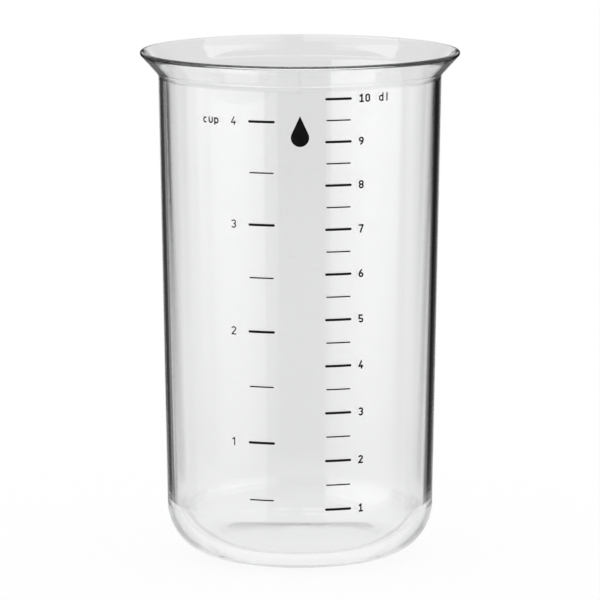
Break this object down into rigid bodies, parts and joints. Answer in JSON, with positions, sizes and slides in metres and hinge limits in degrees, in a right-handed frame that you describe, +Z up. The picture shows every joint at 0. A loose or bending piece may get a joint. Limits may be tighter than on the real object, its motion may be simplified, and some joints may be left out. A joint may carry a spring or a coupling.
{
  "type": "measuring jug",
  "caption": "Tall clear glass measuring jug without handle or spout: flared lip, rounded base, black decilitre and cup scales.",
  "frame": {"origin": "centre of the underside, on the surface that the jug stands on", "axes": "+Z up along the jug's axis; the middle of the printed scales faces -Y, the decilitre scale is on the +X side"},
  "size_m": [0.1106, 0.1106, 0.176],
  "materials": {
    "clear_glass": "clear, fire-polished",
    "fired_black_print": "glossy fired enamel"
  },
  "bodies": {
    "root": {"glass_vessel": "clear_glass", "decilitre_lines": "fired_black_print", "half_decilitre_lines": "fired_black_print", "decilitre_figures": "fired_black_print", "decilitre_sign": "fired_black_print", "cup_lines": "fired_black_print", "half_cup_lines": "fired_black_print", "cup_figures": "fired_black_print", "cup_sign": "fired_black_print", "drop_symbol": "fired_black_print"}
  },
  "joints": []
}
